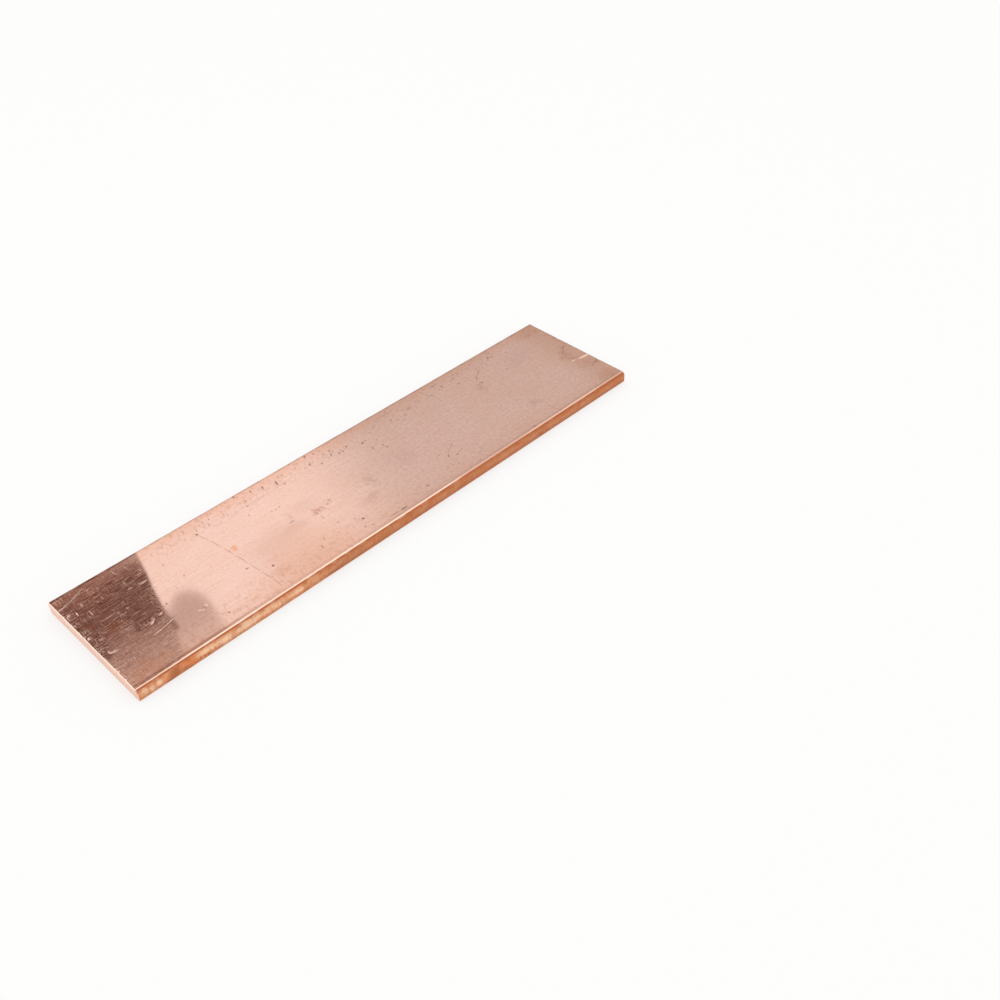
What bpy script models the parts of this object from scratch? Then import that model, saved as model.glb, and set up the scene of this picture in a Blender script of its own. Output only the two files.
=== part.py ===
"""A copper flat bar: a strip slit from rolled sheet, cut square at both ends.

Metres, +Z up. The bar lies on one of its wide faces, with its length along X. The origin is
at the middle of the lower face.
"""

import math

import bmesh
import bpy

MM = 0.001

BAR_LENGTH = 150.0 * MM
BAR_WIDTH = 35.0 * MM
BAR_THICKNESS = 3.0 * MM
# The slitting shear rolls one corner of each long side over and leaves the other almost sharp.
# The rolled-over corners lie opposite each other: upper at -Y, lower at +Y.
ROLLED_EDGE_RADIUS = 1.0 * MM
SHARP_EDGE_RADIUS = 0.30 * MM
# Rounding round each cut end, where the sharp edge has been taken off.
END_EDGE_RADIUS = 0.20 * MM

ROLLED_EDGE_SEGMENTS = 10
SHARP_EDGE_SEGMENTS = 5
END_EDGE_SEGMENTS = 3
# Only the right-angled rims of the cut ends are sharper than this.
END_RIM_ANGLE = math.radians(60.0)

COPPER_COLOUR = (0.79, 0.50, 0.39, 1.0)
COPPER_ROUGHNESS = 0.32


def clear_scene():
    """Remove every object that the scene starts with."""
    for obj in list(bpy.data.objects):
        bpy.data.objects.remove(obj, do_unlink=True)


def copper_material():
    """Return the bare metal's material."""
    material = bpy.data.materials.new("rolled_copper")
    material.use_nodes = True
    shader = material.node_tree.nodes["Principled BSDF"]
    shader.inputs["Base Color"].default_value = COPPER_COLOUR
    shader.inputs["Metallic"].default_value = 1.0
    shader.inputs["Roughness"].default_value = COPPER_ROUGHNESS
    return material


def rounded_corner(y_side, z_side, radius, segments):
    """Return one corner's quarter circle as pairs of y and z, anticlockwise as seen from +X.

    The sides are -1 or 1: left or right for y_side, lower or upper for z_side.
    """
    middle_y = y_side * (BAR_WIDTH / 2.0 - radius)
    middle_z = BAR_THICKNESS / 2.0 + z_side * (BAR_THICKNESS / 2.0 - radius)
    start = math.atan2(z_side, y_side) - math.pi / 4.0
    points = []
    for step in range(segments + 1):
        turn = start + math.pi / 2.0 * step / segments
        points.append((middle_y + radius * math.cos(turn), middle_z + radius * math.sin(turn)))
    return points


def section_outline():
    """Return the section's outline as pairs of y and z, anticlockwise as seen from +X."""
    rolled = (ROLLED_EDGE_RADIUS, ROLLED_EDGE_SEGMENTS)
    sharp = (SHARP_EDGE_RADIUS, SHARP_EDGE_SEGMENTS)
    return (
        rounded_corner(-1, -1, *sharp)
        + rounded_corner(1, -1, *rolled)
        + rounded_corner(1, 1, *sharp)
        + rounded_corner(-1, 1, *rolled)
    )


def bar_mesh():
    """Return the bar with sharp end rims: the section carried from one end to the other."""
    bar = bmesh.new()
    outline = section_outline()
    low_end = [bar.verts.new((-BAR_LENGTH / 2.0, y, z)) for y, z in outline]
    high_end = [bar.verts.new((BAR_LENGTH / 2.0, y, z)) for y, z in outline]
    for index, low in enumerate(low_end):
        after = (index + 1) % len(outline)
        bar.faces.new((low, low_end[after], high_end[after], high_end[index]))
    bar.faces.new(low_end[::-1])
    bar.faces.new(high_end)
    data = bpy.data.meshes.new("flat_bar")
    bar.to_mesh(data)
    bar.free()
    return data


def add_rounding(bar):
    """Round the rim of each cut end."""
    trimmed = bar.modifiers.new("trimmed_end_rims", "BEVEL")
    trimmed.limit_method = "ANGLE"
    trimmed.angle_limit = END_RIM_ANGLE
    trimmed.offset_type = "OFFSET"
    trimmed.width = END_EDGE_RADIUS
    trimmed.segments = END_EDGE_SEGMENTS
    trimmed.harden_normals = True


def main():
    """Build the bar in a collection of its own."""
    clear_scene()
    collection = bpy.data.collections.new("copper_flat_bar")
    bpy.context.scene.collection.children.link(collection)

    bar = bpy.data.objects.new("flat_bar", bar_mesh())
    bar.data.materials.append(copper_material())
    collection.objects.link(bar)
    bar.data.shade_smooth()
    add_rounding(bar)


main()
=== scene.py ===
"""Looks of a copper flat bar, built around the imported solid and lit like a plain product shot.

The bar's own mesh is a rounded section carried along its length. Its three kinds of surface are
the rolled face, the slit long edge and the cut end, each with its marks of making and handling.
"""

import logging
import math
from dataclasses import dataclass
from enum import Enum

import bpy
import numpy as np
from mathutils import Matrix, Vector


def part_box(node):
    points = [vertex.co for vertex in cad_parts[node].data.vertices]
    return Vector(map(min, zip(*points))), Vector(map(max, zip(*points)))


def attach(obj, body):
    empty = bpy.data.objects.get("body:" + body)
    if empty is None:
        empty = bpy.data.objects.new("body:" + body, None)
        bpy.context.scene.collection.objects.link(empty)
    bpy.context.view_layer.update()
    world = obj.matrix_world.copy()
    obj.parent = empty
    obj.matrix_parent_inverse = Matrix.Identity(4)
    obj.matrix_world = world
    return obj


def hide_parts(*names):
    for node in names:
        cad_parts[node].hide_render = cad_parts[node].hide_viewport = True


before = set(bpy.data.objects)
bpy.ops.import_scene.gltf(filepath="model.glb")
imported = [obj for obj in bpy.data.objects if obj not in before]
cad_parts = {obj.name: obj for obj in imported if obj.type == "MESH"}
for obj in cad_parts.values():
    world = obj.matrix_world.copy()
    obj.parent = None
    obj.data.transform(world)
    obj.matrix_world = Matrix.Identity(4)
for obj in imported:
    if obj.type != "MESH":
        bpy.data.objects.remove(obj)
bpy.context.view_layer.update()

LOG = logging.getLogger("copper_flat_bar")

MM = 0.001
NODE = "flat_bar"
BODY = "root"
WHITE = (1.0, 1.0, 1.0, 1.0)
# A stretch of a bent scratch: its mark's half length over the stretch's length, and its core.
HAIR_REACH = 0.62
HAIR_CORE = 0.45

Socket = bpy.types.NodeSocket
Tree = bpy.types.NodeTree
Pair = tuple[float, float]
Triple = tuple[float, float, float]


def linear(hex_colour: str) -> tuple[float, float, float, float]:
    """Turn an sRGB hex colour into the linear values that a shader takes.

    Args:
        hex_colour: six hex digits after a hash.

    Returns:
        Linear red, green, blue and an alpha of 1.
    """
    parts = [int(hex_colour[i:i + 2], 16) / 255.0 for i in (1, 3, 5)]
    turned = [p / 12.92 if p <= 0.04045 else ((p + 0.055) / 1.055) ** 2.4 for p in parts]
    return (turned[0], turned[1], turned[2], 1.0)


def add_node(tree: Tree, kind: str, inputs: dict | None = None, **settings: object) -> bpy.types.Node:
    """Add one node, set it and link it.

    Args:
        tree: the node tree that takes it.
        kind: the node's type name, after its common beginning.
        inputs: by socket name or number, a value, or another node's output or a mask to link.
        **settings: the node's own properties.

    Returns:
        The new node.
    """
    node = tree.nodes.new("ShaderNode" + kind)
    for name, value in settings.items():
        setattr(node, name, value)
    for key, value in (inputs or {}).items():
        value = value.socket if isinstance(value, Mask) else value
        if isinstance(value, Socket):
            tree.links.new(value, node.inputs[key])
        else:
            node.inputs[key].default_value = value
    return node


@dataclass(frozen=True)
class Mask:
    """A number that nodes work out at each place."""

    tree: Tree
    socket: Socket

    def math(self, operation: str, *others: object) -> "Mask":
        """Add a sum that takes this mask first, then other masks or numbers."""
        inputs = dict(enumerate((self, *others)))
        done = add_node(self.tree, "Math", inputs, operation=operation)
        return Mask(self.tree, done.outputs["Value"])

    def __mul__(self, by: object) -> "Mask":
        """Multiply by a number or by another mask."""
        return self.math("MULTIPLY", by)

    def stepped(self, low: object, high: object, kind: str = "SMOOTHSTEP") -> "Mask":
        """Stretch the mask's range from low to high to the range from 0 to 1."""
        done = add_node(self.tree, "MapRange", {"Value": self, "From Min": low, "From Max": high},
                        interpolation_type=kind)
        return Mask(self.tree, done.outputs["Result"])


def strongest(*masks: Mask) -> Mask:
    """Join masks by taking the strongest at each place."""
    total = masks[0]
    for mask in masks[1:]:
        total = total.math("MAXIMUM", mask)
    return total


def add_object(name: str, data: bpy.types.ID) -> bpy.types.Object:
    """Make an object of a mesh, a lamp or a camera, and put it into the scene."""
    made = bpy.data.objects.new(name, data)
    bpy.context.scene.collection.objects.link(made)
    return made


class Surface(Enum):
    """The kinds of surface on the bar, in the order of its material slots."""

    ROLLED_FACE = 0
    SLIT_EDGE = 1
    CUT_END = 2


@dataclass(frozen=True)
class Nick:
    """A small dent in the rim of a cut end, in mm.

    The rim's points move towards the middle of the bar and down, by a bell curve of the
    distance across the bar.
    """

    end: int
    y: float
    half_width: float
    depth: float


@dataclass
class BarBody:
    """The bar's mesh: a rounded rectangle carried along X, with a rounded rim at each end.

    The slitting shear rolls one corner of each long side over and leaves the other almost
    sharp. The rolled-over corners lie opposite each other: upper at -Y, lower at +Y.
    """

    length: float
    width: float
    thickness: float
    rolled_radius: float = 1.0 * MM
    sharp_radius: float = 0.30 * MM
    # The face's finish ends on the rounding, where the normal climbs at this angle.
    face_ends_deg: float = 50.0
    rim_radius: float = 0.20 * MM
    # The wide faces fall away by this much over this width beside a rolled-over corner.
    edge_fall: float = 0.030 * MM
    fall_width: float = 1.4 * MM
    # The rolls leave the faces this far out of flat, over these wavelengths.
    wave_height: float = 0.020 * MM
    wave_lengths: Pair = (41.0 * MM, 23.0 * MM)
    # The height wave's phases along x and y.
    wave_phases: Pair = (0.7, 0.4)
    # The shear leaves the rims of the ends ragged by this much, in sines of these lengths and phases.
    rim_ragged: float = 0.05 * MM
    rim_sines: tuple[Pair, ...] = ((0.31 * MM, 1.0), (0.73 * MM, 0.0), (0.117 * MM, 2.0))
    nicks: tuple[Nick, ...] = (
        Nick(-1, -10.2, 0.32, 0.12), Nick(-1, -13.0, 0.30, 0.10), Nick(-1, 2.6, 0.30, 0.07),
        Nick(-1, 11.3, 0.35, 0.07), Nick(1, 6.5, 0.40, 0.14), Nick(1, -8.0, 0.35, 0.12),
    )
    stations: int = 130
    rim_steps: int = 5
    across_steps: int = 150
    side_steps: int = 8
    corner_steps: int = 10
    # A cut end has rows of points at these shares of its height, closer where the shear tears.
    end_rows: tuple[float, ...] = (0.30, 0.50, 0.64, 0.74, 0.82, 0.88, 0.93, 0.97)

    @classmethod
    def from_frame(cls) -> "BarBody":
        """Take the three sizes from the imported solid."""
        low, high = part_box(NODE)
        size = high - low
        return cls(length=size.x, width=size.y, thickness=size.z)

    def section(self) -> tuple[np.ndarray, np.ndarray, np.ndarray, np.ndarray]:
        """Work out the section as an inner outline, a radius and the outward normal on it.

        A point of the section lies on the inner outline, whose corners are the centres of the
        four roundings, plus the radius there times the normal. Along a side both change evenly
        from one corner's to the next one's.

        Returns:
            The points of the inner outline, their radii, the unit normals, points and normals
            as rows of y and z, and for each point the surface that starts there.
        """
        radii = np.array([self.sharp_radius, self.rolled_radius] * 2)
        y = (self.width / 2.0 - radii) * (-1.0, 1.0, 1.0, -1.0)
        z = np.where([True, True, False, False], radii, self.thickness - radii)
        corners = np.stack([y, z, radii], 1)
        points, normals, kinds = [], [], []
        for i in range(4):
            start, end = corners[i], corners[(i + 1) % 4]
            angle = math.radians(-90.0 + 90.0 * i)
            wide = i % 2 == 0
            steps = self.across_steps if wide else self.side_steps
            share = np.arange(steps) / steps
            points.append(start + (end - start) * share[:, None])
            normals.append(np.tile((math.cos(angle), math.sin(angle)), (steps, 1)))
            kinds.append(np.full(steps, (Surface.ROLLED_FACE if wide else Surface.SLIT_EDGE).value))
            turn = angle + math.radians(90.0) * np.arange(self.corner_steps) / self.corner_steps
            points.append(np.tile(end, (self.corner_steps, 1)))
            normals.append(np.stack([np.cos(turn), np.sin(turn)], 1))
            # A rounding belongs to the wide face over its part beside that face.
            share_edge = np.abs(np.sin(turn)) < math.sin(math.radians(self.face_ends_deg))
            kinds.append(np.where(share_edge, Surface.SLIT_EDGE.value, Surface.ROLLED_FACE.value))
        outline = np.concatenate(points)
        return outline[:, :2], outline[:, 2], np.concatenate(normals), np.concatenate(kinds)

    def places_along(self) -> tuple[np.ndarray, np.ndarray]:
        """Work out where the rings lie along X and how far each is drawn in.

        At a rim the ring follows a quarter circle: x is the centre plus the radius times the
        sine, and the draw-in is the radius times one minus the cosine.

        Returns:
            The rings' x and their draw-in.
        """
        flat = self.length / 2.0 - self.rim_radius
        turn = np.linspace(0.0, math.pi / 2.0, self.rim_steps + 1)[1:]
        rim_x = flat + self.rim_radius * np.sin(turn)
        rim_in = self.rim_radius * (1.0 - np.cos(turn))
        # More rings near the ends, by a sine, so that nicks on the rim have points to move.
        middle = flat * np.sin(np.linspace(-math.pi / 2.0, math.pi / 2.0, self.stations))
        x = np.concatenate([-rim_x[::-1], middle, rim_x])
        drawn_in = np.concatenate([rim_in[::-1], np.zeros(self.stations), rim_in])
        return x, drawn_in

    def shape(self, grid: np.ndarray) -> np.ndarray:
        """Bring the straight bar's points to the rolled and sheared form.

        Beside a rolled-over corner the thickness shrinks with the square of the distance past the
        fall line. The faces also wave by the product of two slow sines. Near an end the points move
        inwards along X by a sum of sines of y and by the nicks, less with every tenth of a
        millimetre away from the upper rim.

        Args:
            grid: the points, as rings by points by x, y and z.

        Returns:
            The points, moved.
        """
        x, y, z = grid[..., 0], grid[..., 1], grid[..., 2]
        middle = self.thickness / 2.0
        towards_rolled = -y * np.sign(z - middle)
        past = np.clip((towards_rolled - self.width / 2.0 + self.fall_width) / self.fall_width, 0.0, 1.0)
        shrink = 1.0 - self.edge_fall * past ** 2 / middle
        wave = np.sin(2.0 * np.pi * x / self.wave_lengths[0] + self.wave_phases[0])
        wave = wave * np.sin(2.0 * np.pi * y / self.wave_lengths[1] + self.wave_phases[1])
        shrink = shrink - self.wave_height * (1.0 + wave) / 2.0 / middle
        from_end = self.length / 2.0 - np.abs(x)
        near_rim_shade = np.exp(-((from_end / (2.0 * self.rim_radius)) ** 2))
        near_top = np.exp(-(((self.thickness - z) / (3.0 * self.rim_radius)) ** 2))
        ragged = sum(np.sin(y / length + phase) for length, phase in self.rim_sines)
        push = self.rim_ragged * (3.0 + ragged) / 6.0
        for nick in self.nicks:
            bell = np.exp(-(((y - nick.y * MM) / (nick.half_width * MM)) ** 2))
            push = push + nick.depth * MM * bell * (np.sign(x) == nick.end)
        push = push * near_rim_shade * near_top
        shaped = grid.copy()
        shaped[..., 0] = x - np.sign(x) * push
        shaped[..., 2] = middle + (z - middle) * shrink - 0.5 * push
        return shaped

    def end_face(self, ring: np.ndarray, numbers: np.ndarray, first: int) -> tuple[np.ndarray, list, list]:
        """Fill a cut end with rows of points between the lower and the upper half of its ring.

        A row's point lies at the row's share of the way from a point of the lower half to its partner
        in the upper half. Both halves run from the middle of the side at -Y to that at +Y.

        Args:
            ring: the points of the end's ring.
            numbers: their numbers in the mesh.
            first: the number of the first new point.

        Returns:
            The new points, the four-sided faces and the triangles, all turned towards +X.
        """
        count = len(ring)
        start = count - self.side_steps // 2 - self.corner_steps
        steps = np.arange(count // 2 + 1)
        lower, upper = (start + steps) % count, (start - steps) % count
        low, high = ring[lower[1:-1]], ring[upper[1:-1]]
        inner = low + (high - low) * np.array(self.end_rows)[:, None, None]
        new = first + np.arange(inner.shape[0] * inner.shape[1]).reshape(inner.shape[:2])
        rows = np.concatenate([numbers[lower[1:-1]][None], new, numbers[upper[1:-1]][None]])
        quads = np.stack([rows[:-1, :-1], rows[:-1, 1:], rows[1:, 1:], rows[1:, :-1]], -1)
        tips = np.full((2, len(rows) - 1), numbers[lower[[0, -1]]][:, None])
        left = np.stack([tips[0], rows[:-1, 0], rows[1:, 0]], -1)
        right = np.stack([tips[1], rows[1:, -1], rows[:-1, -1]], -1)
        return inner.reshape(-1, 3), quads.reshape(-1, 4).tolist(), left.tolist() + right.tolist()

    def build(self) -> bpy.types.Object:
        """Make the bar's object.

        Returns:
            The closed mesh, with a material slot's number on each face.
        """
        base, radii, normals, kinds = self.section()
        x, drawn_in = self.places_along()
        reach = (radii[None, :] - drawn_in[:, None])[..., None]
        rings, count = len(x), len(base)
        grid = np.empty((rings, count, 3))
        grid[..., 0] = x[:, None]
        grid[..., 1:] = base[None] + reach * normals[None]

        at = np.arange(rings * count).reshape(rings, count)
        after = np.roll(at, -1, axis=1)
        quads = np.stack([at[:-1], at[1:], after[1:], after[:-1]], -1).reshape(-1, 4)
        points, ends = [grid.reshape(-1, 3)], []
        for ring, towards in ((0, -1), (-1, 1)):
            inner, fours, threes = self.end_face(grid[ring], at[ring], sum(map(len, points)))
            points.append(inner)
            ends += [face[::towards] for face in fours + threes]
        mesh = bpy.data.meshes.new("copper_flat_bar")
        mesh.from_pydata(self.shape(np.concatenate(points)).tolist(), [], quads[:, ::-1].tolist() + ends)
        on_rim = np.minimum(drawn_in[:-1], drawn_in[1:]) < np.maximum(drawn_in[:-1], drawn_in[1:])
        slots = np.where(on_rim[:, None], Surface.CUT_END.value, kinds[None, :])
        every = np.concatenate([slots.ravel(), [Surface.CUT_END.value] * len(ends)]).astype(np.int32)
        mesh.polygons.foreach_set("material_index", every)
        mesh.polygons.foreach_set("use_smooth", np.ones(len(every), bool))
        mesh.update()
        return add_object("copper_flat_bar", mesh)


@dataclass(frozen=True)
class Mark:
    """A soft ellipse on the upper face, long and thin for a scratch, with its sizes in mm."""

    x: float
    y: float
    half_x: float
    half_y: float
    strength: float = 1.0
    turn_deg: float = 0.0
    # The share of the way out over which the mark keeps its full strength.
    core: float = 0.25


Marks = tuple[Mark, ...]


def marks(core: float, *rows: tuple[float, ...]) -> Marks:
    """Make a mark of each row of its numbers.

    Args:
        core: the core of the marks whose rows don't end with one.
        *rows: each mark's numbers, in the order of its fields.

    Returns:
        The marks.
    """
    return tuple(Mark(*row) if len(row) == 7 else Mark(*row, core=core) for row in rows)


def hair(points: tuple[Pair, ...], half_width: float, strength: float) -> Marks:
    """Lay a chain of thin marks along a bent scratch.

    Args:
        points: the scratch's corners in mm.
        half_width: half the scratch's width in mm.
        strength: the marks' strength.

    Returns:
        One mark for each stretch, a little longer than it, so that the chain has no gaps.
    """
    chain = []
    for (x0, y0), (x1, y1) in zip(points, points[1:]):
        reach = math.hypot(x1 - x0, y1 - y0) * HAIR_REACH
        turn = math.degrees(math.atan2(y1 - y0, x1 - x0))
        chain.append(Mark((x0 + x1) / 2.0, (y0 + y1) / 2.0, reach, half_width, strength, turn, HAIR_CORE))
    return tuple(chain)


@dataclass
class Paint:
    """The pattern of one material, with its colour so far and the place on the bar in mm."""

    tree: Tree
    place: Socket
    colour: object

    @classmethod
    def on(cls, tree: Tree, hex_colour: str) -> "Paint":
        """Start with a plain colour and with the nodes that give the place."""
        at = add_node(tree, "TexCoord").outputs["Object"]
        place = add_node(tree, "Mapping", {"Vector": at, "Scale": (1.0 / MM,) * 3})
        return cls(tree, place.outputs["Vector"], linear(hex_colour))

    def turned(self, axis: str, degrees: float) -> Socket:
        """Add the nodes that turn the place about an axis of the bar."""
        angles = [math.radians(degrees) if name == axis else 0.0 for name in "XYZ"]
        return add_node(self.tree, "Mapping",
                        {"Vector": self.place, "Rotation": angles}).outputs["Vector"]

    def tint(self, share: Mask, hex_colour: str) -> None:
        """Blend the colour towards a hex colour by a share."""
        mix = add_node(self.tree, "MixRGB", {0: share, 1: self.colour, 2: linear(hex_colour)})
        self.colour = mix.outputs["Color"]

    def cloud(self, grain_mm: Triple, low: float, high: float, seed: float = 0, detail: float = 2) -> Mask:
        """Add a noise whose grains have a given size, stretched to the range from 0 to 1.

        Args:
            grain_mm: the size of a grain along x, y and z.
            low: the noise's value that gives 0.
            high: the noise's value that gives 1.
            seed: a shift that gives another pattern.
            detail: the number of finer layers.

        Returns:
            The noise.
        """
        cell = add_node(self.tree, "Mapping",
                        {"Vector": self.place, "Location": (seed,) * 3, "Scale": grain_mm},
                        vector_type="TEXTURE")
        noise = add_node(self.tree, "TexNoise",
                         {"Vector": cell.outputs["Vector"], "Scale": 1.0, "Detail": detail,
                          "Roughness": 0.55})
        return Mask(self.tree, noise.outputs["Fac"]).stepped(low, high, "LINEAR")

    def along(self, axis: str, place: Socket | None = None) -> Mask:
        """Add the node that gives the place along X, Y or Z."""
        parts = add_node(self.tree, "SeparateXYZ", {0: place or self.place})
        return Mask(self.tree, parts.outputs[axis])

    def beyond(self, axis: str, start: float, end: float, place: Socket | None = None) -> Mask:
        """Add a soft step along an axis of the bar.

        Args:
            axis: X, Y or Z.
            start: where the step is 0.
            end: where the step is 1.
            place: another place to measure, if not the one on the bar.

        Returns:
            The step.
        """
        return self.along(axis, place).stepped(start, end)

    def wobbled(self, grain_mm: float, reach_mm: float) -> Socket:
        """Shift the place by a noise, so that marks found by it get uneven outlines.

        Args:
            grain_mm: the size of the noise's grains.
            reach_mm: about the largest shift.

        Returns:
            The shifted place in mm.
        """
        noise = add_node(self.tree, "TexNoise",
                         {"Vector": self.place, "Scale": 1.0 / grain_mm, "Detail": 3.0})
        shift = add_node(self.tree, "Mapping",
                         {"Vector": noise.outputs["Color"], "Location": (-2.0 * reach_mm,) * 3,
                          "Scale": (4.0 * reach_mm,) * 3})
        moved = add_node(self.tree, "VectorMath", {0: self.place, 1: shift.outputs["Vector"]},
                         operation="ADD")
        # One mapping that changes nothing turns the sum into a point, which the marks take as it is.
        same = add_node(self.tree, "Mapping", {"Vector": moved.outputs["Vector"]})
        return same.outputs["Vector"]

    def marked(self, found: Marks, top: float, place: Socket | None = None) -> Mask:
        """Find marks and join them one after another, so that few values are kept at a time.

        Args:
            found: the marks to join.
            top: the height of the face in mm.
            place: another place to find them by, if not the one on the bar.

        Returns:
            The strongest mark's strength at each place, which falls to 0 at the mark's rim.
        """
        total = None
        for mark in found:
            near = add_node(self.tree, "Mapping",
                            {"Vector": place or self.place, "Location": (mark.x, mark.y, top),
                             "Rotation": (0.0, 0.0, math.radians(mark.turn_deg)),
                             "Scale": (mark.half_x, mark.half_y, 1.0)}, vector_type="TEXTURE")
            # A round gradient is 1 at the mark's middle and 0 at its rim.
            ball = add_node(self.tree, "TexGradient", {"Vector": near.outputs["Vector"]},
                            gradient_type="SPHERICAL")
            fade = add_node(self.tree, "MapRange",
                            {"Value": ball.outputs["Fac"], "From Max": 1.0 - mark.core,
                             "To Max": mark.strength}, interpolation_type="SMOOTHSTEP", clamp=False)
            here = Mask(self.tree, fade.outputs["Result"])
            total = strongest(total, here) if total else here
        return total

    def strokes(self, half_x: float, half_y: float, spread: float, kept: float, turn_deg: float,
                seed: float) -> Mask:
        """Add a field of small strokes, one in some of the cells of a scattered grid.

        Args:
            half_x: half a stroke's length along x in mm.
            half_y: half a stroke's length along y in mm.
            spread: the distance between strokes, in their own half sizes.
            kept: the share of the cells that have a stroke.
            turn_deg: the turn of the whole field.
            seed: a shift that gives another pattern.

        Returns:
            1 in the middle of each stroke, 0 outside.
        """
        cell = add_node(self.tree, "Mapping",
                        {"Vector": self.place, "Location": (seed, seed * 1.7, 0.0),
                         "Rotation": (0.0, 0.0, math.radians(turn_deg)),
                         "Scale": (half_x * spread, half_y * spread, 1.0)}, vector_type="TEXTURE")
        dots = add_node(self.tree, "TexVoronoi",
                        {"Vector": cell.outputs["Vector"], "Scale": 1.0}, voronoi_dimensions="2D")
        parts = add_node(self.tree, "SeparateColor", {"Color": dots.outputs["Color"]})
        chosen = Mask(self.tree, parts.outputs["Red"]).math("LESS_THAN", kept)
        # Each stroke has a size of its own, between 0.5 and 1.
        least = 0.5 / spread
        size = Mask(self.tree, parts.outputs["Green"]).math("MULTIPLY_ADD", least, least)
        return Mask(self.tree, dots.outputs["Distance"]).stepped(size, 0.0) * chosen


@dataclass(frozen=True)
class Finish:
    """A copper surface, whose pattern gives its colour, its roughness and its bump."""

    name: str
    colour: str
    roughness: float
    bump_mm: float

    def material(self) -> bpy.types.Material:
        """Return the material."""
        made = bpy.data.materials.new(self.name)
        made.use_nodes = True
        tree = made.node_tree
        paint = Paint.on(tree, self.colour)
        rough, height = self.pattern(paint)
        bump = add_node(tree, "Bump",
                        {"Height": height, "Strength": 1.0, "Distance": self.bump_mm * MM})
        shader = tree.nodes["Principled BSDF"]
        for name, value in (("Base Color", paint.colour), ("Roughness", rough.socket),
                            ("Normal", bump.outputs["Normal"])):
            tree.links.new(value, shader.inputs[name])
        shader.inputs["Metallic"].default_value = 1.0
        return made

    def pattern(self, paint: Paint) -> tuple[Mask, Mask]:
        """Tint the paint, and return the roughness and the height for the bump."""
        raise NotImplementedError


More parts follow.
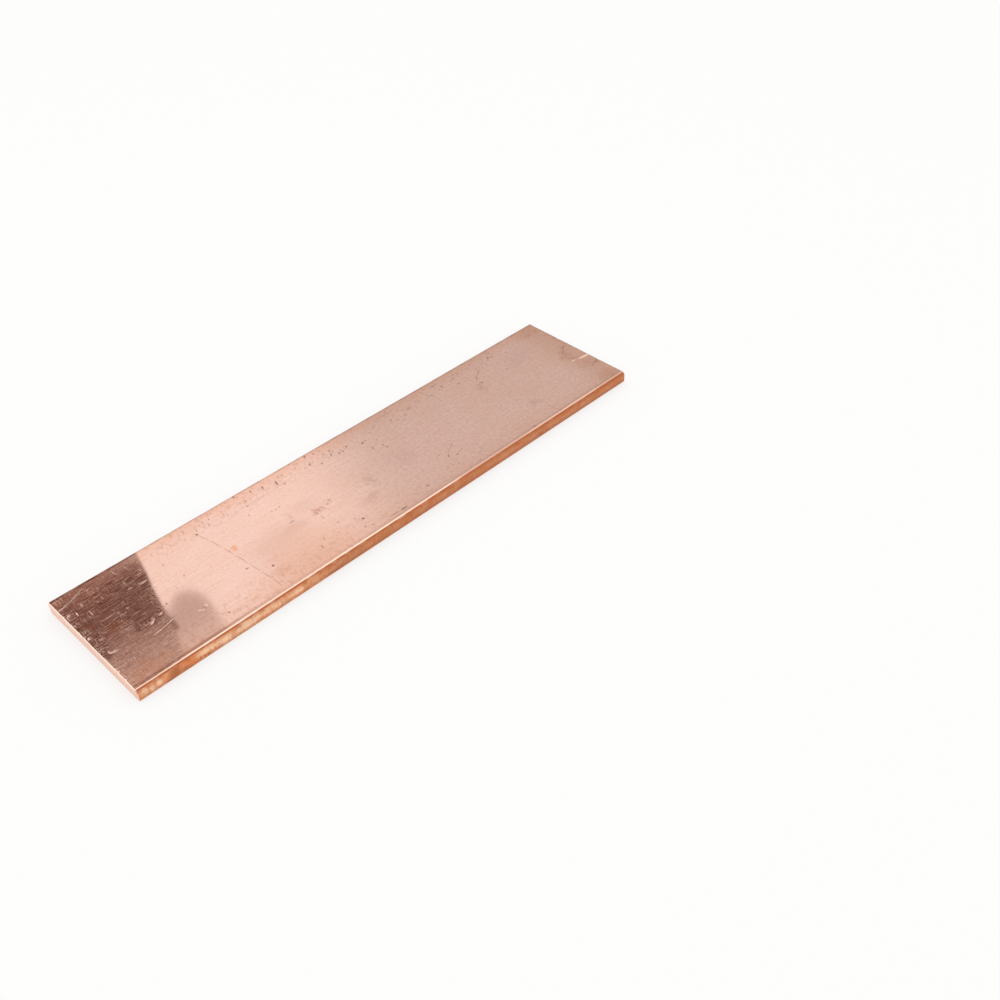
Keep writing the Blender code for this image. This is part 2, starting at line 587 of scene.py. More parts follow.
@dataclass(frozen=True)
class RolledFace(Finish):
    """Cold-rolled copper face, handled bare.

    It is a soft mirror with a grain along the rolling. Dents, hairlines and finger stains show
    dark where it mirrors something bright and bright where it mirrors something dark.
    """

    name: str = "rolled_copper_face"
    colour: str = "#FCD5C4"
    # Patches of the cleanest metal.
    clean: str = "#FFDACD"
    roughness: float = 0.07
    bump_mm: float = 0.004
    top_mm: float = 3.0
    # The grain's marks are about 0.02 mm wide in life, drawn at 0.3 mm so that they show.
    grain_mm: Triple = (11.0, 0.30, 1.0)
    fine_grain_mm: Triple = (5.0, 0.14, 1.0)
    dents: Marks = marks(
        0.25,
        (-40.8, 12.2, 0.5, 0.4), (-34.9, -8.4, 0.4, 0.55), (-39.4, -5, 0.6, 0.35, 0.7, -15),
        (-49.8, -13, 0.4, 0.4, 0.7), (-57.6, -1.3, 0.35, 0.35, 0.7), (-51.5, 9.3, 0.45, 0.25, 0.6, 20),
        (-50.2, 3.2, 0.25, 0.4, 0.5), (-53.4, 1, 0.14, 1, 0.4), (-11.2, -11, 0.5, 0.5, 0.9),
        (-12.5, -9.6, 0.25, 0.5, 0.5, -10), (-12.7, -13.5, 0.3, 0.5, 0.5), (-11, -14.2, 0.45, 0.3, 0.45),
        (-16, -7.8, 0.4, 0.4, 0.4), (-17.5, -4, 0.25, 1, 0.3), (-23.6, -11.5, 0.2, 1, 0.5, -3),
        (-21.7, -9.9, 0.25, 0.6, 0.5, -15), (-17.3, 13.6, 0.26, 1.5, 1, -10),
        (-20.6, 14.7, 0.25, 0.8, 0.8, -8), (-23.5, 15.6, 0.35, 0.7, 0.7, -15),
        (-26.3, 13.5, 0.25, 0.7, 0.6, -30), (-27.5, 16.8, 0.4, 0.5, 0.8, -20),
        (-36, 14.6, 0.25, 0.55, 0.6, -15), (-37, 12.8, 0.45, 0.25, 0.5),
        (-28.7, 8.9, 0.25, 0.6, 0.5, -25), (-27, 11.8, 0.45, 0.35, 0.6), (-16, 12, 0.3, 1, 0.5, -25),
        (-7.5, 13.3, 0.35, 0.8, 0.7, -30), (-5.2, 11.4, 0.4, 0.45, 0.7), (-2.7, 14, 0.2, 0.9, 0.6),
        (-1.5, 12.5, 0.3, 1, 0.7, -25), (-0.9, 14, 0.35, 0.6, 0.7), (-6.5, 16.6, 0.6, 0.4, 0.8),
        (-4.3, 16, 0.45, 0.4, 0.6), (-9.5, 15.8, 0.4, 0.4, 0.5), (0.3, 11.4, 0.5, 0.35, 0.8),
        (1.4, 11.4, 0.45, 0.4, 0.7), (3.1, 12.3, 0.35, 0.6, 0.8, -35), (6.8, 10.4, 0.6, 0.4, 1, 15),
        (7.9, 10.7, 0.4, 0.35, 0.7), (7.3, 7.1, 0.35, 0.7, 0.7, 10), (9.9, 6.2, 0.3, 0.5, 0.7),
        (10.1, 4.9, 0.4, 0.45, 0.8), (10.2, 9, 0.2, 0.5, 0.4), (10.7, 12.2, 0.45, 0.4, 0.6),
        (12.8, 13.3, 0.45, 0.45, 0.5), (17.8, 12.3, 0.35, 0.6, 0.6, -40),
        (19.1, 11.1, 0.5, 0.35, 0.6, 30), (21.8, 11.4, 0.35, 0.6, 0.6), (20.1, 10, 0.4, 0.4, 0.4),
        (-24.3, 6.2, 0.35, 0.3, 0.45), (-23.2, 6.1, 0.35, 0.3, 0.4), (-22.1, 6.3, 0.4, 0.35, 0.5),
        (-23.3, 0, 1.1, 0.3, 0.5), (-2.4, -15.2, 1.6, 0.3), (-5.2, -15.1, 2.6, 0.2, 0.6),
        (18, -8.9, 0.3, 0.7, 0.8, -25), (20, -9.9, 0.5, 0.35, 0.7, 10), (16.5, -6.9, 0.45, 0.25, 0.5, 25),
        (7, -13.3, 0.8, 0.45, 0.5), (15, -11.8, 0.2, 0.9, 0.4), (16.4, -11.5, 0.2, 1, 0.4, 8),
        (17.8, -12.7, 0.5, 0.3, 0.5, 30), (22.3, -15.5, 1, 0.25, 0.5, 25), (45.5, 7.1, 0.45, 0.6, 0.7),
        (41, 11.3, 0.7, 0.35, 0.6, 15), (54.7, 14.2, 0.7, 0.45, 0.7, 15), (55.8, 13.7, 0.4, 0.6, 0.5),
        (54.6, 6.6, 0.3, 0.6, 0.6, -20), (60, 12.3, 0.35, 0.5, 0.4), (35.4, 12.9, 0.35, 0.5, 0.5),
        (36.8, 13.5, 0.45, 0.8, 0.6), (35.5, 15.3, 1.5, 0.4, 0.5), (32.2, 12.6, 0.4, 0.8, 0.5),
        (24.3, 12.7, 1.3, 0.6, 0.4), (18, 15.2, 4.5, 0.22, 0.5, 2), (41.2, -15.9, 0.7, 0.35, 0.7),
        (50.8, -16, 0.3, 0.6, 0.5),
    )
    hairs: Marks = (
        *hair(((-40.8, 12.2), (-40, 8.8), (-39.2, 4.5), (-38.7, 0.5), (-38.2, -4),
               (-37.8, -8), (-37.4, -11.5), (-37.2, -14.6)), 0.16, 0.5),
        *hair(((18, -9), (18.7, -7.9), (20.2, -7), (22.2, -5.8)), 0.17, 0.6),
        *hair(((20, -9.9), (21.2, -9.4), (22.6, -9)), 0.17, 0.5),
        *hair(((26.1, -9.4), (25.9, -11.4), (25.4, -12.9), (23.8, -13.3)), 0.17, 0.4),
        *hair(((44.9, 8.6), (46.9, 10.4), (49.2, 11.8)), 0.2, 0.55),
        *hair(((2, -15.3), (8, -15), (15, -15.4)), 0.17, 0.35),
        *hair(((-27, 12.2), (-21, 12.1), (-14, 12.4)), 0.13, 0.35),
        *hair(((50.3, -12.5), (50.4, -14.5), (50.8, -16)), 0.17, 0.45),
        *hair(((69.6, 0.2), (71.6, 1.7), (73.4, 3.1)), 0.34, 0.4),
        *hair(((70.8, -9.2), (73, -8.6), (75, -7.5)), 0.38, 0.4),
        *hair(((-60, -5.9), (-57, -5.4), (-54, -4.9), (-51.8, -4.6)), 0.2, 0.6),
        *hair(((-57.5, -10.3), (-55, -10.1), (-52, -10.3)), 0.18, 0.35),
    )
    brown_stains: Marks = marks(
        0.1,
        (-16.5, -1.4, 3.2, 1.9, 0.9, 5, 0.2), (-13.4, -0.9, 1.4, 1.1, 0.8), (-34.2, -11.2, 3.2, 2.2, 0.5),
        (-33, -7, 3.5, 1.6, 0.25), (-22.6, 2, 1.6, 3, 0.35), (44, 5.2, 1.6, 3.4, 0.7),
        (70.2, -1.6, 2.8, 5.5, 0.8, -10), (72.8, 2.4, 2.8, 0.9, 1, 35), (73.3, -8.4, 3.2, 0.8, 1, 15),
        (71.5, -14.5, 5, 3, 0.7, 10), (71.5, 14.5, 6, 3.5, 0.6), (74.8, 6, 1.6, 12, 0.6, 0, 0.2),
        (-6, -7, 4.5, 3, 0.25), (71.5, -6.8, 4, 3.2, 0.6), (-53.4, -8.4, 1.6, 0.7, 0.5),
        (-54.6, -13.4, 1, 1.4, 0.3),
    )
    # Broad stains without an outline.
    soft_stains: Marks = marks(
        0.1,
        (-29, -3, 13, 7, 0.3), (-24.5, -1.8, 7, 4.5, 0.34), (-18, 2.2, 6, 4, 0.22),
    )
    mauve_stains: Marks = marks(
        0.1,
        (-1.2, -1.8, 2.2, 3.4, 0.8), (48.6, -9.4, 3, 2, 0.8), (-4.5, -6.5, 3, 2.2, 0.5),
        (10, -1, 6, 5, 0.25), (60, 8, 8, 5, 0.35),
    )
    orange_stains: Marks = marks(
        0.1,
        (-38, 2.6, 1.6, 1.1, 0.9, 10), (-44, 1.8, 0.5, 0.4, 0.6), (-44.8, 0.9, 0.45, 0.4, 0.6),
        (-64.5, -14, 1, 1, 0.7), (-68.5, 1.2, 3.6, 2, 0.9), (-73, 5, 2, 1.6, 0.8), (-66, 11, 4, 2.5, 0.4),
        (-70, -14, 10, 5, 0.7),
    )
    scrapes: Marks = marks(
        0.1,
        (73.6, -4.2, 3, 0.75, 0.75, -4), (69.9, -3.5, 1.3, 0.7, 0.42),
        (-62.7, -3.6, 0.9, 0.45, 0.9, 30, 0.3), (-62, -2.8, 0.35, 0.8, 0.7, 15, 0.2),
        (-60.2, -2.8, 0.7, 0.3, 0.6), (-72.2, -4.9, 1.4, 0.45, 0.8, -8, 0.3), (-73, -4.3, 0.5, 0.7, 0.6),
        (-60.5, 8.2, 0.9, 0.4, 0.7), (-58, 7.9, 1.3, 0.45, 0.7), (-60.5, 10.5, 0.22, 1.2, 0.6),
        (-57.8, 14.3, 0.2, 1.4, 0.5), (-66, 3.8, 0.6, 0.35, 0.7), (-64, 3.7, 0.4, 0.35, 0.6),
        (-73.6, 10.6, 0.6, 0.8, 0.6), (-72.2, 9.8, 0.2, 0.9, 0.6), (-70, 8, 0.2, 1.5, 0.5),
        (-70.2, 11.5, 0.22, 1.1, 0.5), (-74, 1.8, 0.5, 0.6, 0.8), (-51.9, -7.7, 0.35, 0.5, 0.4),
        (-74.6, -10.2, 0.45, 0.5, 1, 0, 0.3), (-74.7, -13, 0.4, 0.45, 1, 0, 0.3),
        (-74.6, -9.1, 0.3, 0.3, 0.7, 0, 0.3), (-53.5, -8.2, 0.9, 0.3, 0.35, -20, 0.2),
    ) + (
        *hair(((-74.8, 13.2), (-72, 14), (-68, 15.6)), 0.26, 0.9),
        *hair(((-64.5, -6.9), (-61.5, -6.5), (-59, -5.9)), 0.2, 0.7),
        *hair(((-60.5, 16), (-60, 13.6)), 0.2, 0.6), *hair(((-70, 4.2), (-67.2, 4.3)), 0.2, 0.6),
    )

    def pattern(self, paint: Paint) -> tuple[Mask, Mask]:
        """Add the face's grain, wear and marks.

        Args:
            paint: the pattern so far, which takes the tints.

        Returns:
            The roughness and the height for the bump.
        """
        cloud, beyond, tint = paint.cloud, paint.beyond, paint.tint
        # The worn end, which mirrors the dark cards, stops at a slanting line, which lies along Y in this
        # turned place.
        turned = paint.turned("Z", 14.5)
        grain = cloud(self.grain_mm, 0.35, 0.72, 3, 3)
        fine = cloud(self.fine_grain_mm, 0.35, 0.75, 9)
        across = cloud((0.22, 2.4, 1), 0.55, 0.85, 5)
        patches = cloud((9, 6, 4), 0.35, 0.65, 1, 3)
        mottle = cloud((0.9, 0.7, 1), 0.42, 0.7, 31, 3)
        long_wear = cloud((3.4, 0.3, 1), 0.5, 0.68, 13, 3)
        cross_wear = cloud((0.32, 1.5, 1), 0.52, 0.67, 17, 3)
        long_dark_reflection = cloud((3.4, 0.4, 1), 0.44, 0.64, 71, 3)
        cross_dark_reflection = cloud((0.5, 1.6, 1), 0.46, 0.64, 77, 3)
        wear_share = cloud((4.5, 3.5, 1), 0.4, 0.6, 21)

        far_band = beyond("Y", 9, 14) * beyond("X", -56, -47)
        near_band = beyond("Y", -1, -14) * beyond("Y", -16.5, -16) * beyond("X", -46, -31)
        worn_and_dark_mirror_end = beyond("X", -55.6, -57.6, turned)
        worn_rim = beyond("X", -68.5, -74.6) * cross_wear
        worn_corner = beyond("Y", 9.5, 15.5) * beyond("X", -64, -57)
        worn_far = beyond("Y", 12.6, 15.8) * beyond("Y", 16.9, 16.4) * beyond("X", -72, -56)
        near_low = beyond("Y", -10.5, -15.5) * beyond("Y", -16.5, -16) * beyond("X", -66, -58)
        blotches = cloud((0.9, 1.5, 1), 0.5, 0.68, 83, 3) * strongest(
            far_band, beyond("Y", -6, -13)) * strongest(beyond("X", 4, -16), 0.4)
        pits = paint.strokes(0.42, 0.46, 5, 0.4, 0, 3)
        dashes = paint.strokes(0.3, 1.25, 3.2, 0.5, -14, 7)
        specks = paint.strokes(0.16, 0.18, 9, 0.6, 0, 11)
        flecks = paint.strokes(0.2, 1, 3.8, 0.6, 6, 19)
        streaks = paint.strokes(1.9, 0.15, 3.8, 0.5, 3, 23)

        dents, hairs, scrapes = (
            paint.marked(found, self.top_mm) for found in (self.dents, self.hairs, self.scrapes))
        dark = strongest(dents, hairs * 0.8, specks * 0.6, strongest(pits, dashes) * far_band * 0.42)
        wear = strongest(long_wear * 0.8, cross_wear * wear_share,
                         strongest(flecks, streaks) * wear_share * 0.95,
                         worn_rim * 0.9, worn_far * 0.38, worn_corner * 0.3)
        # The wear, and the painted dark reflection streaks, are heaviest towards the far edge.
        worn_and_dark_mirror_share = worn_and_dark_mirror_end * beyond("Y", -9, 0).math("MULTIPLY_ADD", 0.3, 0.7)
        bright = strongest(scrapes, wear * worn_and_dark_mirror_share)

        tint(patches, self.clean)
        tint(grain * 0.5, "#F0BBA4")
        tint(fine * 0.22, "#E9B098")
        tint(mottle * 0.24, "#E6AE95")
        tint(mottle * beyond("X", -20, 8) * 0.26, "#E0A68E")
        # Painted shade: dark streaks along and across the bar over the end that mirrors the dark cards.
        tint(strongest(long_dark_reflection * 0.66, cross_dark_reflection * 0.5) * worn_and_dark_mirror_share, "#8F5A48")
        uneven = paint.wobbled(1.6, 1.1)
        for stains, shade in ((self.brown_stains, "#D4A088"), (self.mauve_stains, "#DBB3A9"),
                              (self.orange_stains, "#F0AE8C")):
            tint(paint.marked(stains, self.top_mm, uneven), shade)
        tint(paint.marked(self.soft_stains, self.top_mm), "#D4A088")
        tint(beyond("Y", 12, 17.4) * 0.45, "#EFB394")
        for band, share in ((near_band * beyond("X", -10, -24), 0.52), (near_low, 0.2),
                            (near_band * beyond("X", 34, 4), 0.08), (beyond("X", 62, 74), 0.55)):
            tint(band * share, "#E4AC90")
        tint(blotches * 0.4, "#C99078")
        # Painted shade: a dark uneven outline along the far edge, darkest over the left end.
        far_rim_shade = beyond("Y", 16.6, 17.1) * cloud((4, 1, 1), 0.3, 0.6, 41)
        tint(far_rim_shade * 0.5, "#A9705A")
        tint(far_rim_shade * worn_and_dark_mirror_end * 0.8, "#6E4238")
        # Painted shade: a dark line on the face beside the painted highlight of the near rounding, darker
        # towards the left.
        near_rim_shade = beyond("Y", -15.4, -16.05) * beyond("Y", -16.5, -16.35)
        tint(near_rim_shade * 0.35, "#C98F78")
        tint(near_rim_shade * beyond("X", -36, -58) * 0.6, "#B5755C")
        tint(dark * 0.88, "#80554A")
        tint(bright * 0.6, "#FFE3D6")
        # Painted highlight on the start of the near rounding, and a painted dark reflection line, with
        # noise in it, where the roundings turn down.
        edge_highlight = beyond("Y", -16.5, -16.66)
        off_middle = paint.along("Z").math("SUBTRACT", self.top_mm / 2).math("ABSOLUTE")
        edge_dark_reflection = off_middle.stepped(1.448, 1.395) * cloud((2.6, 2.6, 9), -0.35, 0.5, 91)
        tint(edge_highlight * 0.8, "#FFE8D2")
        # Painted shade: over these stretches of x the painted highlight is dimmed and browned.
        highlight_dimmed = strongest(beyond("X", 9, 18) * beyond("X", 43, 36), beyond("X", 9, 18) * 0.65,
                         beyond("X", 58, 66))
        tint(edge_highlight * highlight_dimmed * 0.78, "#B98A76")
        tint(edge_dark_reflection, "#BC6C4B")

        rough = self.roughness
        for mask, gain in ((grain, 0.04), (fine, 0.03), (across * worn_and_dark_mirror_end, 0.03), (dark, 0.25),
                           (bright, 0.52)):
            rough = mask.math("MULTIPLY_ADD", gain, rough)
        # A scrape raises a burr, whose slopes mirror light from other sides.
        height = scrapes.math("MULTIPLY_ADD", 28, fine * 0.05)
        return rough, dark.math("MULTIPLY_ADD", -1.5, height)


@dataclass(frozen=True)
class SlitEdge(Finish):
    """Slit copper edge, never polished: more orange than the faces, and mottled.

    The shear leaves a brighter band at mid height below the rolled-over upper corner. Below it the metal
    is rougher, and painted darker as shade where it mirrors the floor's shadow by the bar.
    """

    name: str = "slit_copper_edge"
    colour: str = "#E8A074"
    light: str = "#FFD2AC"
    dark: str = "#B4663A"
    roughness: float = 0.26
    bump_mm: float = 0.01
    half_width_mm: float = 17.5
    # On the near side, x and z in mm.
    light_spots: Marks = marks(
        0.3,
        (-59, 1.9, 3.6, 1.1), (-54, 1.5, 3.2, 1.4, 0.9), (-48.5, 1.7, 4.5, 1.5, 1, 0, 0.4),
        (-42, 1.6, 5, 1.2, 0.6), (-35.5, 1.7, 3.5, 0.9, 0.9), (-73.4, 1.6, 1, 1.6, 1, 0, 0.4),
        (-71.7, 1.5, 0.8, 1.6, 0.9), (-70, 1.6, 0.9, 1.5, 0.8), (-16, 1.5, 4, 0.7, 0.35, 0, 0.25),
        (30, 1.6, 7, 0.8, 0.35, 0, 0.25), (52, 1.4, 6, 0.8, 0.4, 0, 0.25),
    )
    brown_spots: Marks = marks(
        0.25,
        (-74.9, 1.1, 0.45, 1.6, 1, 0, 0.3), (-66.4, 1.5, 2.6, 2.2, 0.9, 0, 0.15),
        (-64, 0.9, 1.6, 1, 0.6, 0, 0.2), (-67.2, 0.5, 1.6, 0.5, 1, 0, 0.3), (-60.4, 1, 0.28, 0.8, 0.8, 5),
        (-59.4, 0.9, 0.25, 0.7, 0.7), (-58.6, 1, 0.28, 0.9, 0.8, 3), (-57.6, 0.9, 0.22, 0.7, 0.6),
        (-56.8, 1.1, 0.25, 0.8, 0.7), (-55.6, 0.6, 1.2, 0.3, 0.5), (-50.6, 2.5, 1.2, 0.3, 0.5),
        (-33.6, 1.8, 0.25, 1.2, 0.4, 4), (-24.5, 0.8, 3.5, 0.5, 0.5), (-8.2, 1.7, 0.2, 1.2, 0.6),
        (14, 1.2, 2.5, 0.8, 0.35), (41, 1, 3, 0.7, 0.4), (63, 1.8, 2.5, 0.9, 0.4),
    )
    orange_spots: Marks = marks(
        0.2,
        (-62.6, 1.6, 3.2, 2.4), (-66, 1.6, 3, 1.8, 0.6), (-59.6, 0.9, 1.8, 0.9, 0.6, 0, 0.3),
    )
    grey_scuffs: Marks = marks(
        0.25,
        (-53.3, 1.9, 0.7, 0.6, 0.9), (-50.2, 2, 0.5, 0.7, 0.6, 20), (-48.9, 2.1, 0.8, 0.4, 0.9),
        (-47.3, 1.8, 1.2, 0.5, 0.8), (-71, 1, 0.5, 0.8, 0.4), (-23.6, 2.2, 1, 0.4, 0.4),
        (58, 1.9, 1.2, 0.5, 0.5),
    )

    def pattern(self, paint: Paint) -> tuple[Mask, Mask]:
        """Add the side's blots, scuffs and upright marks.

        Args:
            paint: the pattern so far, which takes the tints.

        Returns:
            The roughness and the height for the bump.
        """
        cloud, beyond, tint = paint.cloud, paint.beyond, paint.tint
        # Turned about X, so that a mark's second measure runs up the side.
        side = paint.turned("X", -90)
        blots = cloud((3.4, 3.4, 2), 0.4, 0.64, 4, 3)
        lifts = cloud((1, 1, 1.3), 0.5, 0.72, 8, 3)
        upright = cloud((0.36, 0.36, 2.6), 0.45, 0.72, 2)
        light, brown, orange, grey = (
            paint.marked(found, self.half_width_mm, side)
            for found in (self.light_spots, self.brown_spots, self.orange_spots, self.grey_scuffs))
        # Painted shade: darker towards the bottom of the side, where it mirrors the floor's shadow by the
        # bar; this part is also rougher.
        shaded_lower_part = beyond("Z", 1.5, 0.6)
        rolled_over = beyond("Z", 1.9, 2.6)
        tint(blots * 0.5, self.light)
        tint(light * 0.95, self.light)
        tint(shaded_lower_part * 0.42, self.dark)
        tint(rolled_over * 0.15, self.dark)
        tint(orange * 0.66, "#DA763E")
        # Painted shade: the side is made darker and browner from x -35 on, as a dark reflection.
        tint(beyond("X", -35, -23) * 0.66, self.dark)
        tint(lifts * 0.48, self.dark)
        tint(upright * 0.4, self.dark)
        tint(brown * 0.7, "#9A5A34")
        tint(grey * 0.6, "#DDB5A6")
        rough = strongest(lifts, shaded_lower_part).math("MULTIPLY_ADD", 0.14, self.roughness)
        return rough, strongest(upright, lifts)


@dataclass(frozen=True)
class CutEnd(Finish):
    """Freshly sheared copper end: clean pink metal with the blade's marks through the thickness."""

    name: str = "cut_copper_end"
    colour: str = "#FFD2BA"
    shade: str = "#E8AE8E"
    # The colour of a painted highlight along the upper rim.
    rim: str = "#FFE9E0"
    roughness: float = 0.28
    bump_mm: float = 0.006
    # The blade's marks are drawn at 0.35 mm, the narrowest that shows.
    mark_mm: Triple = (1.0, 0.35, 6.0)

    def pattern(self, paint: Paint) -> tuple[Mask, Mask]:
        """Add the blade's marks, and return the roughness and the height for the bump."""
        across = paint.cloud(self.mark_mm, 0.4, 0.7, 6, 3)
        patches = paint.cloud((1, 2.6, 1.6), 0.42, 0.68, 2, 3)
        # Painted shade: darker towards the bottom of the end, where it mirrors the floor's shadow by the
        # bar.
        shaded_lower_part = paint.beyond("Z", 1.9, 0.7)
        paint.tint(strongest(across * 0.45, patches * 0.45, shaded_lower_part * 0.65), self.shade)
        # Painted highlight: lighter towards the upper rim.
        paint.tint(paint.beyond("Z", 2.72, 2.88) * 0.6, self.rim)
        return patches.math("MULTIPLY_ADD", 0.12, self.roughness), across


@dataclass(frozen=True)
class PhotoCamera:
    """The camera at the photograph's place, from a fit to the bar's corners."""

    frame_px: float = 1000.0
    focal_px: float = 1117.0
    sensor_mm: float = 36.0
    place_mm: Triple = (-123.45, -167.63, 175.11)
    azimuth_deg: float = 44.975
    pitch_deg: float = 41.340
    roll_deg: float = -1.004

    def axes(self) -> np.ndarray:
        """Return the camera's right, up and back directions as rows."""
        turn, pitch, roll = (math.radians(v) for v in (self.azimuth_deg, self.pitch_deg, self.roll_deg))
        ahead = np.array([math.cos(pitch) * math.cos(turn), math.cos(pitch) * math.sin(turn),
                          -math.sin(pitch)])
        level = np.cross(ahead, (0.0, 0.0, 1.0))
        level /= np.linalg.norm(level)
        upright = np.cross(level, ahead)
        right = math.cos(roll) * level + math.sin(roll) * upright
        up = np.cross(right, ahead)
        return np.stack([right, up, -ahead])

    def build(self) -> bpy.types.Object:
        """Make the camera and set it as the scene's."""
        lens = bpy.data.cameras.new("photo_camera")
        lens.sensor_width = self.sensor_mm
        lens.lens = self.focal_px / self.frame_px * self.sensor_mm
        lens.clip_start = 10.0 * MM
        camera = add_object("photo_camera", lens)
        turned = Matrix(self.axes().tolist()).transposed().to_4x4()
        camera.matrix_world = Matrix.Translation(Vector(self.place_mm) * MM) @ turned
        bpy.context.scene.camera = camera
        return camera

    def mirrored(self, seen_mm: Pair, height: float, reach: float) -> np.ndarray:
        """Find the point that a level mirror shows the camera at a place on it.

        The ray from the camera meets the mirror there, turns its z about and goes on by reach.

        Args:
            seen_mm: x and y of the place on the mirror.
            height: the mirror's z.
            reach: how far beyond the mirror the point lies.

        Returns:
            The point.
        """
        met = np.array([seen_mm[0] * MM, seen_mm[1] * MM, height])
        ray = met - np.array(self.place_mm) * MM
        ray /= np.linalg.norm(ray)
        return met + ray * (1.0, 1.0, -1.0) * reach


@dataclass(frozen=True)
class Glow:
    """A round soft patch of the surroundings: its direction, size and brightness."""

    azimuth_deg: float
    climb_deg: float
    radius_deg: float
    blur_deg: float
    level: Triple

    def share(self, tree: Tree, toward: Socket) -> Mask:
        """Add the nodes that say how far a direction lies inside the patch."""
        turn, climb = math.radians(self.azimuth_deg), math.radians(self.climb_deg)
        middle = (math.cos(climb) * math.cos(turn), math.cos(climb) * math.sin(turn), math.sin(climb))
        near = add_node(tree, "VectorMath", {0: toward, 1: middle}, operation="DOT_PRODUCT")
        outer = math.cos(math.radians(self.radius_deg + self.blur_deg))
        inner = math.cos(math.radians(max(self.radius_deg - self.blur_deg, 0.0)))
        return Mask(tree, near.outputs["Value"]).stepped(outer, inner)


@dataclass(frozen=True)
class Card:
    """A flat card that only reflections see, given by where the upper face mirrors it, in mm."""

    name: str
    colour: str
    # The colour of its streaks and of the part that pales.
    light: str
    reach: float
    streaked: float
    # The card pales from the first to the second of these y of the upper face.
    pales_mm: Pair
    outline_mm: tuple[Pair, ...]

    def shade(self, tree: Tree, shift_mm: float) -> Socket:
        """Add the nodes of the card's colour.

        Args:
            tree: the material's nodes.
            shift_mm: how much further along y the card hangs than the place that mirrors it.

        Returns:
            The colour, with streaks along the bar, flecks across it and the pale part.
        """
        paint = Paint.on(tree, self.colour)
        long_streaks = paint.cloud((5, 0.34, 1), 0.5, 0.7, 51, 3)
        dark_streaks = paint.cloud((4, 0.4, 1), 0.48, 0.68, 57, 3)
        flecks = paint.cloud((0.3, 1.3, 1), 0.54, 0.7, 61) * paint.cloud(
            (5, 4, 1), 0.4, 0.58, 67)
        pale = paint.beyond("Y", self.pales_mm[0] + shift_mm, self.pales_mm[1] + shift_mm)
        paint.tint(pale * 0.55, self.light)
        paint.tint(dark_streaks * (0.5 * self.streaked), "#3A2722")
        paint.tint(strongest(long_streaks, flecks) * self.streaked, self.light)
        return paint.colour


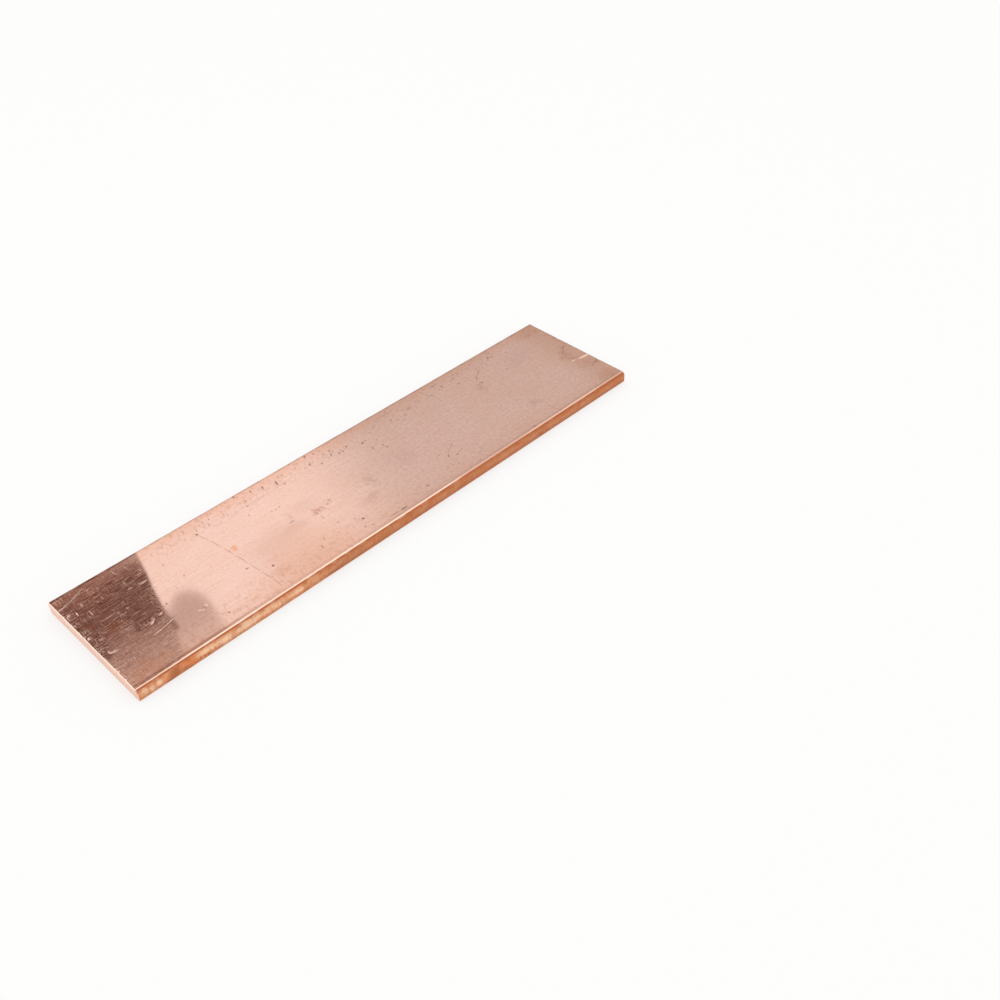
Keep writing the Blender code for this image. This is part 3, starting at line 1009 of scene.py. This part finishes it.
@dataclass
class Studio:
    """Floor, cards, lamp and surroundings."""

    camera: PhotoCamera
    mirror_height: float
    floor_colour: str = "#F6F5F3"
    floor_half: float = 1.5
    # The share of plain white in what a camera sees of the floor; the rest keeps the shadow.
    floor_white: float = 0.65
    lamp_power: float = 0.35
    lamp_size: float = 0.6
    lamp_place: Triple = (0.0, 0.05, 0.7)
    cards: tuple[Card, ...] = (
        Card("dark_card", "#7D625B", "#B3948A", 0.017, 0.6, (8.5, 17.5), (
            (-53.2, 20), (-53.9, 16.5), (-54.2, 15), (-55.4, 10), (-57, 5), (-58.3, 0), (-59, -3.2),
            (-60.4, -3.8), (-62.4, -4.6), (-64.5, -4.6), (-66, -4), (-66.4, -2.4), (-67.6, -1),
            (-69.4, 0.2), (-71.6, -0.2), (-72.3, -2.4), (-72.6, -5.4), (-74, -6.2), (-77, -6.2),
            (-77, 20),
        )),
        Card("finger_card", "#937B74", "#C8B7B0", 0.018, 0.6, (-12, -14), (
            (-61.8, -3.6), (-59.1, -3.4), (-59, -6.6), (-59.4, -9.2), (-60.4, -8.8), (-61.3, -6.6),
        )),
        Card("brown_card", "#A08A83", "#C8B7B0", 0.022, 0.6, (0, -12), (
            (-77, 4), (-64, 4), (-62, -3), (-60.8, -6), (-60.4, -9.6), (-64.5, -7.6), (-65.8, -9.8),
            (-68, -11.4), (-72, -11.2), (-77, -9),
        )),
        Card("taupe_card", "#B0A099", "#DDD2CC", 0.03, 0.4, (-6, -16), (
            (-77, -4), (-60.5, -4), (-60.2, -9), (-62, -13), (-64, -18), (-66, -24), (-77, -24),
        )),
        Card("grey_card", "#C9BFBC", "#F4EEEA", 0.085, 0.15, (-9, -18), (
            (-66, -1), (-58.9, -3), (-57.6, -3.8), (-56.6, -2), (-54.6, -0.8), (-52.6, -1.4),
            (-51.2, -3.2), (-50.8, -7), (-51.6, -11), (-52.5, -16), (-53.5, -24), (-77, -24), (-77, -8),
        )),
    )
    # What reflections meet at each height: sine of the height above the floor, and level.
    climb_levels: tuple[Pair, ...] = (
        (0, 0.35), (0.3, 0.42), (0.5, 0.62), (0.62, 0.68), (0.78, 0.9), (1, 1),
    )
    glows: tuple[Glow, ...] = (
        Glow(110, 45, 40.2, 2.6, (0.99, 0.99, 0.99)),
        Glow(120, 28, 24, 8, (1.6, 1.6, 1.6)),
        Glow(10, 56, 22, 3.5, (1.18, 1.18, 1.16)),
        Glow(-62, 22, 24, 8, (0.99, 0.95, 0.88)),
    )

    def floor(self) -> None:
        """Lay the pale floor just under the bar."""
        h = self.floor_half
        mesh = bpy.data.meshes.new("floor")
        mesh.from_pydata([(-h, -h, 0.0), (h, -h, 0.0), (h, h, 0.0), (-h, h, 0.0)], [], [(0, 1, 2, 3)])
        made = bpy.data.materials.new("matt_white_paper")
        made.use_nodes = True
        tree = made.node_tree
        shader = tree.nodes["Principled BSDF"]
        shader.inputs["Base Color"].default_value = linear(self.floor_colour)
        shader.inputs["Roughness"].default_value = 1.0
        shader.inputs["Specular IOR Level"].default_value = 0.0
        path = add_node(tree, "LightPath")
        seen = strongest(*(Mask(tree, path.outputs[f"Is {ray} Ray"])
                           for ray in ("Camera", "Glossy", "Transmission")))
        white = add_node(tree, "Emission", {"Color": WHITE, "Strength": 1.0})
        mix = add_node(tree, "MixShader",
                       {0: seen * self.floor_white, 1: shader.outputs[0], 2: white.outputs[0]})
        tree.links.new(mix.outputs[0], tree.nodes["Material Output"].inputs["Surface"])
        mesh.materials.append(made)
        floor = add_object("floor", mesh)

    def hang(self, card: Card) -> None:
        """Hang a card where the bar's upper face mirrors it to the camera."""
        points = [self.camera.mirrored(p, self.mirror_height, card.reach) for p in card.outline_mm]
        mesh = bpy.data.meshes.new(card.name)
        mesh.from_pydata([tuple(p) for p in points], [], [tuple(range(len(points)))])
        made = bpy.data.materials.new(card.name)
        made.use_nodes = True
        tree = made.node_tree
        tree.nodes.clear()
        shift_mm = float(points[0][1]) / MM - card.outline_mm[0][1]
        glow = add_node(tree, "Emission", {"Color": card.shade(tree, shift_mm)})
        add_node(tree, "OutputMaterial", {"Surface": glow.outputs[0]})
        mesh.materials.append(made)
        hung = add_object(card.name, mesh)
        for sense in ("camera", "diffuse", "shadow", "transmission", "volume_scatter"):
            setattr(hung, f"visible_{sense}", False)

    def lamp(self) -> None:
        """Set one large soft lamp overhead."""
        light = bpy.data.lights.new("overhead_softbox", "AREA")
        light.shape = "DISK"
        light.size = self.lamp_size
        light.energy = self.lamp_power
        lamp = add_object("overhead_softbox", light)
        lamp.location = self.lamp_place
        lamp.visible_glossy = False

    def surroundings(self) -> None:
        """Light the scene from all round, plain white but graded in reflections."""
        world = bpy.data.worlds.new("light_tent")
        world.use_nodes = True
        tree = world.node_tree
        tree.nodes.clear()
        toward = add_node(tree, "TexCoord").outputs["Generated"]
        parts = add_node(tree, "SeparateXYZ", {0: toward})
        climb = add_node(tree, "ValToRGB", {0: parts.outputs["Z"]})
        stops = climb.color_ramp.elements
        for i, (place, level) in enumerate(self.climb_levels):
            stop = stops[i] if i < 1 else stops.new(place)
            stop.position = place
            stop.color = (level, level, level, 1.0)
        stops[-1].color = stops[-2].color
        graded = climb.outputs["Color"]
        for glow in self.glows:
            mix = add_node(tree, "MixRGB",
                           {0: glow.share(tree, toward), 1: graded, 2: (*glow.level, 1.0)})
            graded = mix.outputs["Color"]
        path = add_node(tree, "LightPath")
        shown = add_node(tree, "MixRGB", {0: path.outputs["Is Glossy Ray"], 1: WHITE, 2: graded})
        back = add_node(tree, "Background", {"Color": shown.outputs["Color"], "Strength": 1.0})
        add_node(tree, "OutputWorld", {"Surface": back.outputs["Background"]})
        bpy.context.scene.world = world

    def build(self) -> None:
        """Make everything round the bar."""
        self.floor()
        for card in self.cards:
            self.hang(card)
        self.lamp()
        self.surroundings()
        bpy.context.scene.view_settings.view_transform = "Standard"


def main() -> None:
    """Build the bar, dress it and set it in the studio."""
    camera = PhotoCamera()
    camera.build()
    body = BarBody.from_frame()
    bar = body.build()
    for finish in (RolledFace(), SlitEdge(), CutEnd()):
        bar.data.materials.append(finish.material())
    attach(bar, BODY)
    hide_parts(NODE)
    LOG.info("%s: %d faces", bar.name, len(bar.data.polygons))
    Studio(camera, body.thickness).build()


if __name__ == "__main__":
    logging.basicConfig(level=logging.INFO)
    main()
